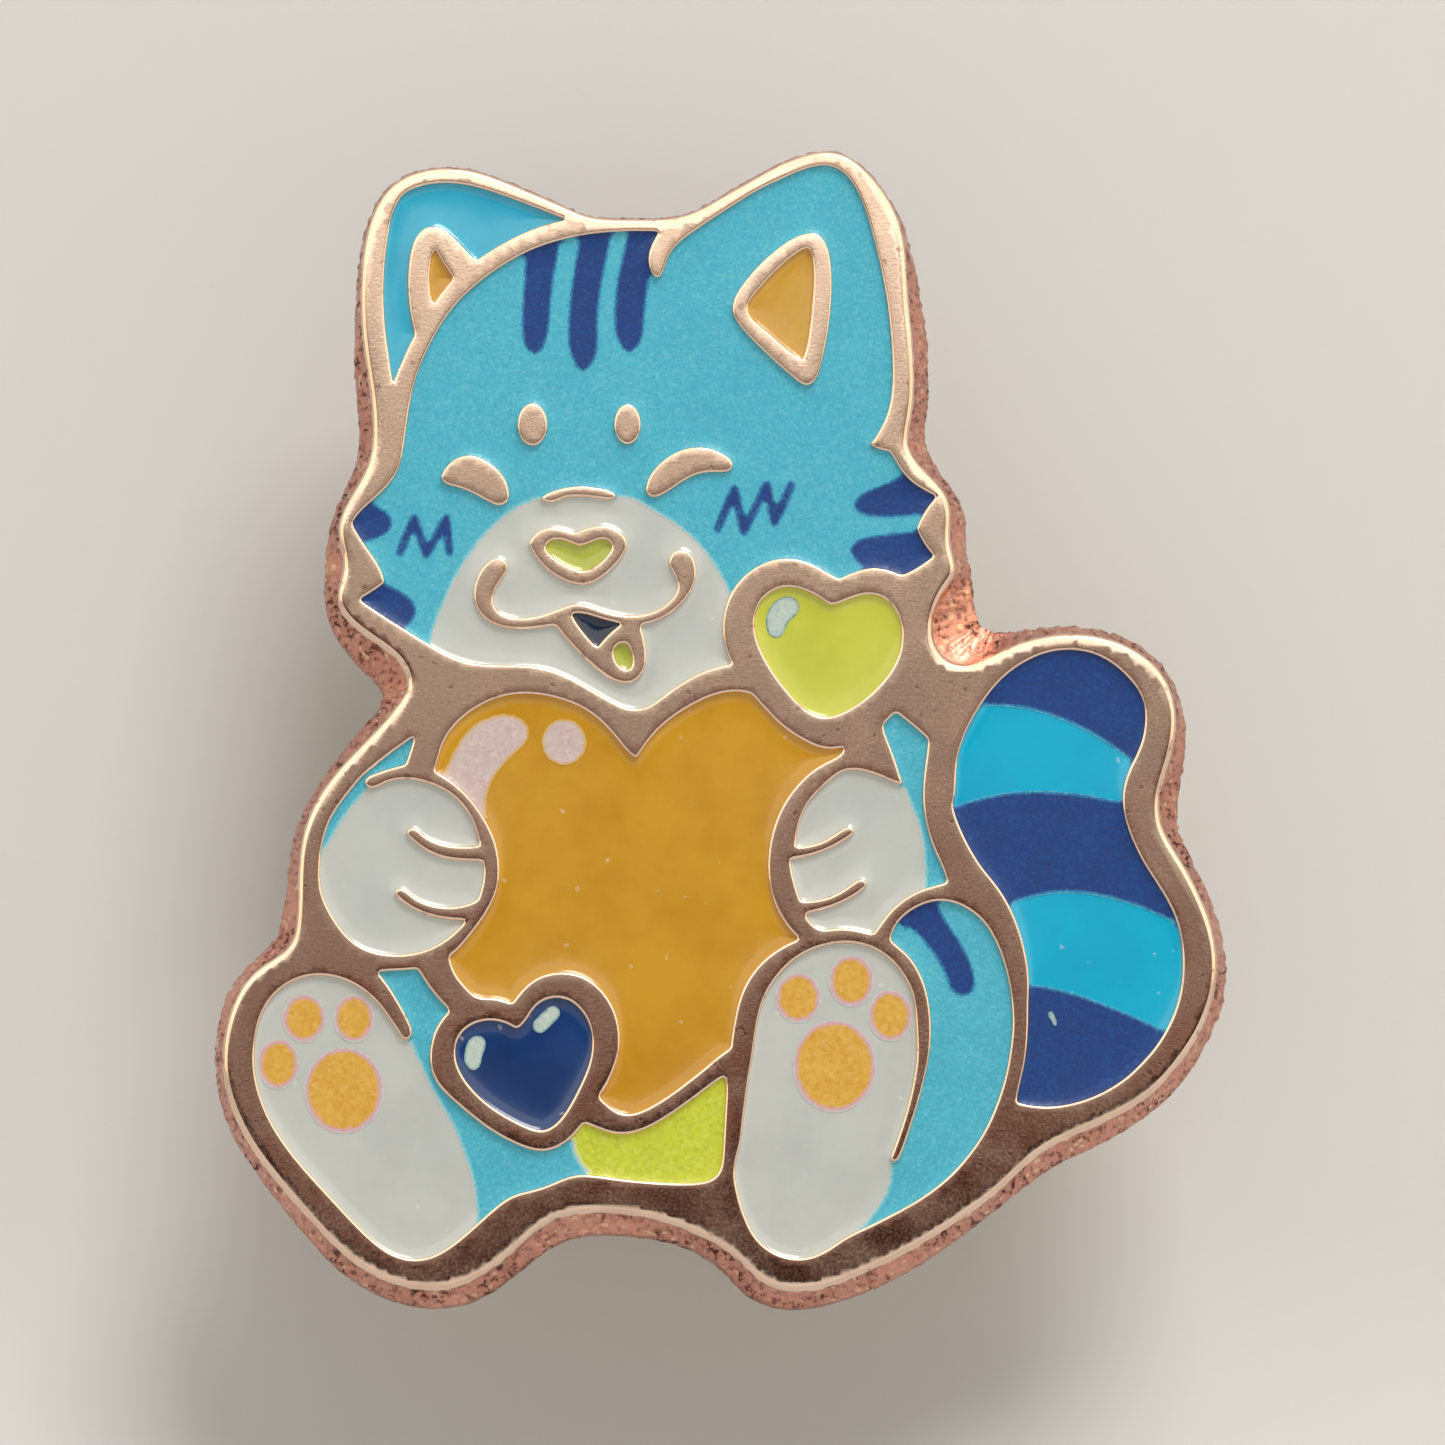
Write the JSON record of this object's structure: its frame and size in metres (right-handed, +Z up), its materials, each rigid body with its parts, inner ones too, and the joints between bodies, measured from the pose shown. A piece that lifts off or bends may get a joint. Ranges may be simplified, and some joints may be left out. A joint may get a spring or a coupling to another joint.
{
  "type": "enamel lapel pin",
  "caption": "Rose-gold plated enamel pin of a sitting cartoon cat hugging a heart, worn on fabric with two posts and butterfly clutches.",
  "frame": {"origin": "on the flat back face, midway between the two posts", "axes": "+X to the viewer's right and +Z up as the pin is worn, with the enamel face looking along -Y and the posts along +Y"},
  "size_m": [0.0329, 0.01, 0.0381],
  "materials": {
    "rose_gold": "rose-gold plated and polished, with softly rounded raised lines and a rougher trimmed side",
    "enamel_white": "hard white enamel, smooth and glossy",
    "enamel_ear_blue": "hard cyan enamel, smooth and glossy",
    "enamel_tail_blue": "hard bright cyan enamel, smooth and glossy",
    "enamel_orange": "hard ochre-orange enamel, smooth and glossy",
    "enamel_lime": "hard lime enamel, smooth and glossy",
    "enamel_nose_lime": "hard dull lime enamel, smooth and glossy",
    "enamel_navy": "hard navy enamel, smooth and glossy",
    "enamel_mouth": "hard near-black blue enamel, smooth and glossy",
    "ink_light_blue": "screen-printed light blue ink with a fine grain",
    "ink_dark_blue": "screen-printed dark blue ink with a fine grain",
    "ink_lime": "screen-printed lime ink with a fine grain",
    "ink_pad": "screen-printed orange ink with a fine grain",
    "ink_pink": "screen-printed pinkish white ink",
    "ink_pale": "screen-printed pale ink",
    "solder": "silver solder, matt and slightly uneven",
    "clutch_metal": "pale gold plated stamped sheet, satin",
    "spring_metal": "pale gold plated spring sheet, satin"
  },
  "bodies": {
    "pin": {"base_plate": "rose_gold", "enamel_big_heart": "enamel_orange", "enamel_cheek_heart": "enamel_lime", "enamel_head": "enamel_white", "enamel_left_ear_inner": "enamel_orange", "enamel_left_ear_outer": "enamel_ear_blue", "enamel_left_foot_belly": "enamel_white", "enamel_left_paw": "enamel_white", "enamel_mouth": "enamel_mouth", "enamel_nose": "enamel_nose_lime", "enamel_right_ear_inner": "enamel_orange", "enamel_right_foot_leg": "enamel_white", "enamel_right_paw": "enamel_white", "enamel_small_heart": "enamel_navy", "enamel_tail": "enamel_tail_blue", "enamel_tongue": "enamel_nose_lime", "ink_dark_blue": "ink_dark_blue", "ink_light_blue": "ink_light_blue", "ink_lime": "ink_lime", "ink_pads": "ink_pad", "ink_pale_shine": "ink_pale", "ink_pink_shine": "ink_pink", "post_left": "rose_gold", "post_right": "rose_gold", "solder_left": "solder", "solder_right": "solder"},
    "clutch_left": {"clutch_left_dish": "clutch_metal"},
    "clutch_left_spring": {"clutch_left_spring_plate": "spring_metal"},
    "clutch_left_wing_a": {"clutch_left_wing_a": "spring_metal"},
    "clutch_left_wing_b": {"clutch_left_wing_b": "spring_metal"},
    "clutch_right": {"clutch_right_dish": "clutch_metal"},
    "clutch_right_spring": {"clutch_right_spring_plate": "spring_metal"},
    "clutch_right_wing_a": {"clutch_right_wing_a": "spring_metal"},
    "clutch_right_wing_b": {"clutch_right_wing_b": "spring_metal"}
  },
  "joints": [
    {"name": "clutch_left_off", "type": "slide", "parent": "pin", "child": "clutch_left", "axis": [0, 1, 0], "range_m": [-0.00165, 0.012]},
    {"name": "clutch_left_turn", "type": "hinge", "parent": "clutch_left", "child": "clutch_left_spring", "pos_m": [-0.00733, 0.0027, 0], "axis": [0, 1, 0], "continuous": true},
    {"name": "clutch_left_wing_a_pinch", "type": "slide", "parent": "clutch_left_spring", "child": "clutch_left_wing_a", "axis": [-0.9511, 0, 0.309], "range_m": [0, 0.0003], "stiffness_N_per_m": 2000},
    {"name": "clutch_left_wing_b_pinch", "type": "slide", "parent": "clutch_left_spring", "child": "clutch_left_wing_b", "axis": [0.9511, 0, -0.309], "range_m": [0, 0.0003], "stiffness_N_per_m": 2000},
    {"name": "clutch_right_off", "type": "slide", "parent": "pin", "child": "clutch_right", "axis": [0, 1, 0], "range_m": [-0.00165, 0.012]},
    {"name": "clutch_right_turn", "type": "hinge", "parent": "clutch_right", "child": "clutch_right_spring", "pos_m": [0.00733, 0.0027, 0], "axis": [0, 1, 0], "continuous": true},
    {"name": "clutch_right_wing_a_pinch", "type": "slide", "parent": "clutch_right_spring", "child": "clutch_right_wing_a", "axis": [-0.848, 0, -0.5299], "range_m": [0, 0.0003], "stiffness_N_per_m": 2000},
    {"name": "clutch_right_wing_b_pinch", "type": "slide", "parent": "clutch_right_spring", "child": "clutch_right_wing_b", "axis": [0.848, 0, 0.5299], "range_m": [0, 0.0003], "stiffness_N_per_m": 2000}
  ]
}
